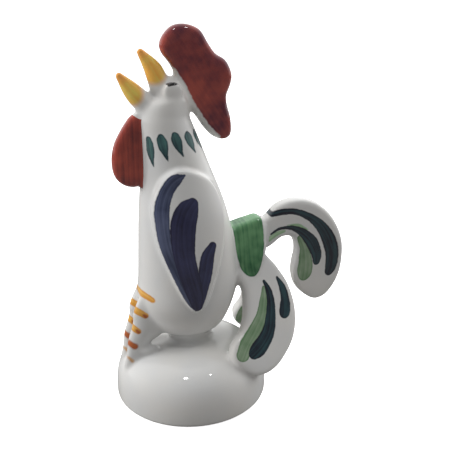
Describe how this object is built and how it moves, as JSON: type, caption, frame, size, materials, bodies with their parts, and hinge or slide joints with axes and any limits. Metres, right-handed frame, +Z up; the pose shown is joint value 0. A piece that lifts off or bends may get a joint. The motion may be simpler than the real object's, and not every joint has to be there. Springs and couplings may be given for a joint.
{
  "type": "porcelain rooster figurine",
  "caption": "Glazed porcelain figurine of a crowing rooster with a curled tail, standing on a round hollow mound, with brushed underglaze decoration.",
  "frame": {"origin": "middle of the bounding box in plan, on the table under the mound", "axes": "+Z up, the rooster faces -X, its left side faces -Y"},
  "size_m": [0.1454, 0.092, 0.22],
  "materials": {
    "white_glaze": "clear gloss glaze on white porcelain",
    "red_glaze": "brick red underglaze under clear gloss glaze",
    "ochre_glaze": "ochre underglaze under clear gloss glaze",
    "green_glaze": "leaf green underglaze under clear gloss glaze",
    "blue_glaze": "navy brush strokes on white under clear gloss glaze",
    "feather_glaze": "dark blue and green brush strokes on white under clear gloss glaze"
  },
  "bodies": {
    "root": {"base_mound": "white_glaze", "torso": "white_glaze", "head": "white_glaze", "beak_upper": "ochre_glaze", "beak_lower": "ochre_glaze", "comb": "red_glaze", "wattle": "red_glaze", "eye_left": "white_glaze", "eye_right": "white_glaze", "wing_left": "blue_glaze", "wing_right": "blue_glaze", "leg_left": "white_glaze", "leg_right": "white_glaze", "toe_front_left": "white_glaze", "toe_front_right": "white_glaze", "toe_hind_left": "white_glaze", "toe_hind_right": "white_glaze", "tail_collar": "green_glaze", "tail_plume_upper": "feather_glaze", "tail_plume_lower_left": "feather_glaze", "tail_plume_lower_right": "feather_glaze"}
  },
  "joints": []
}
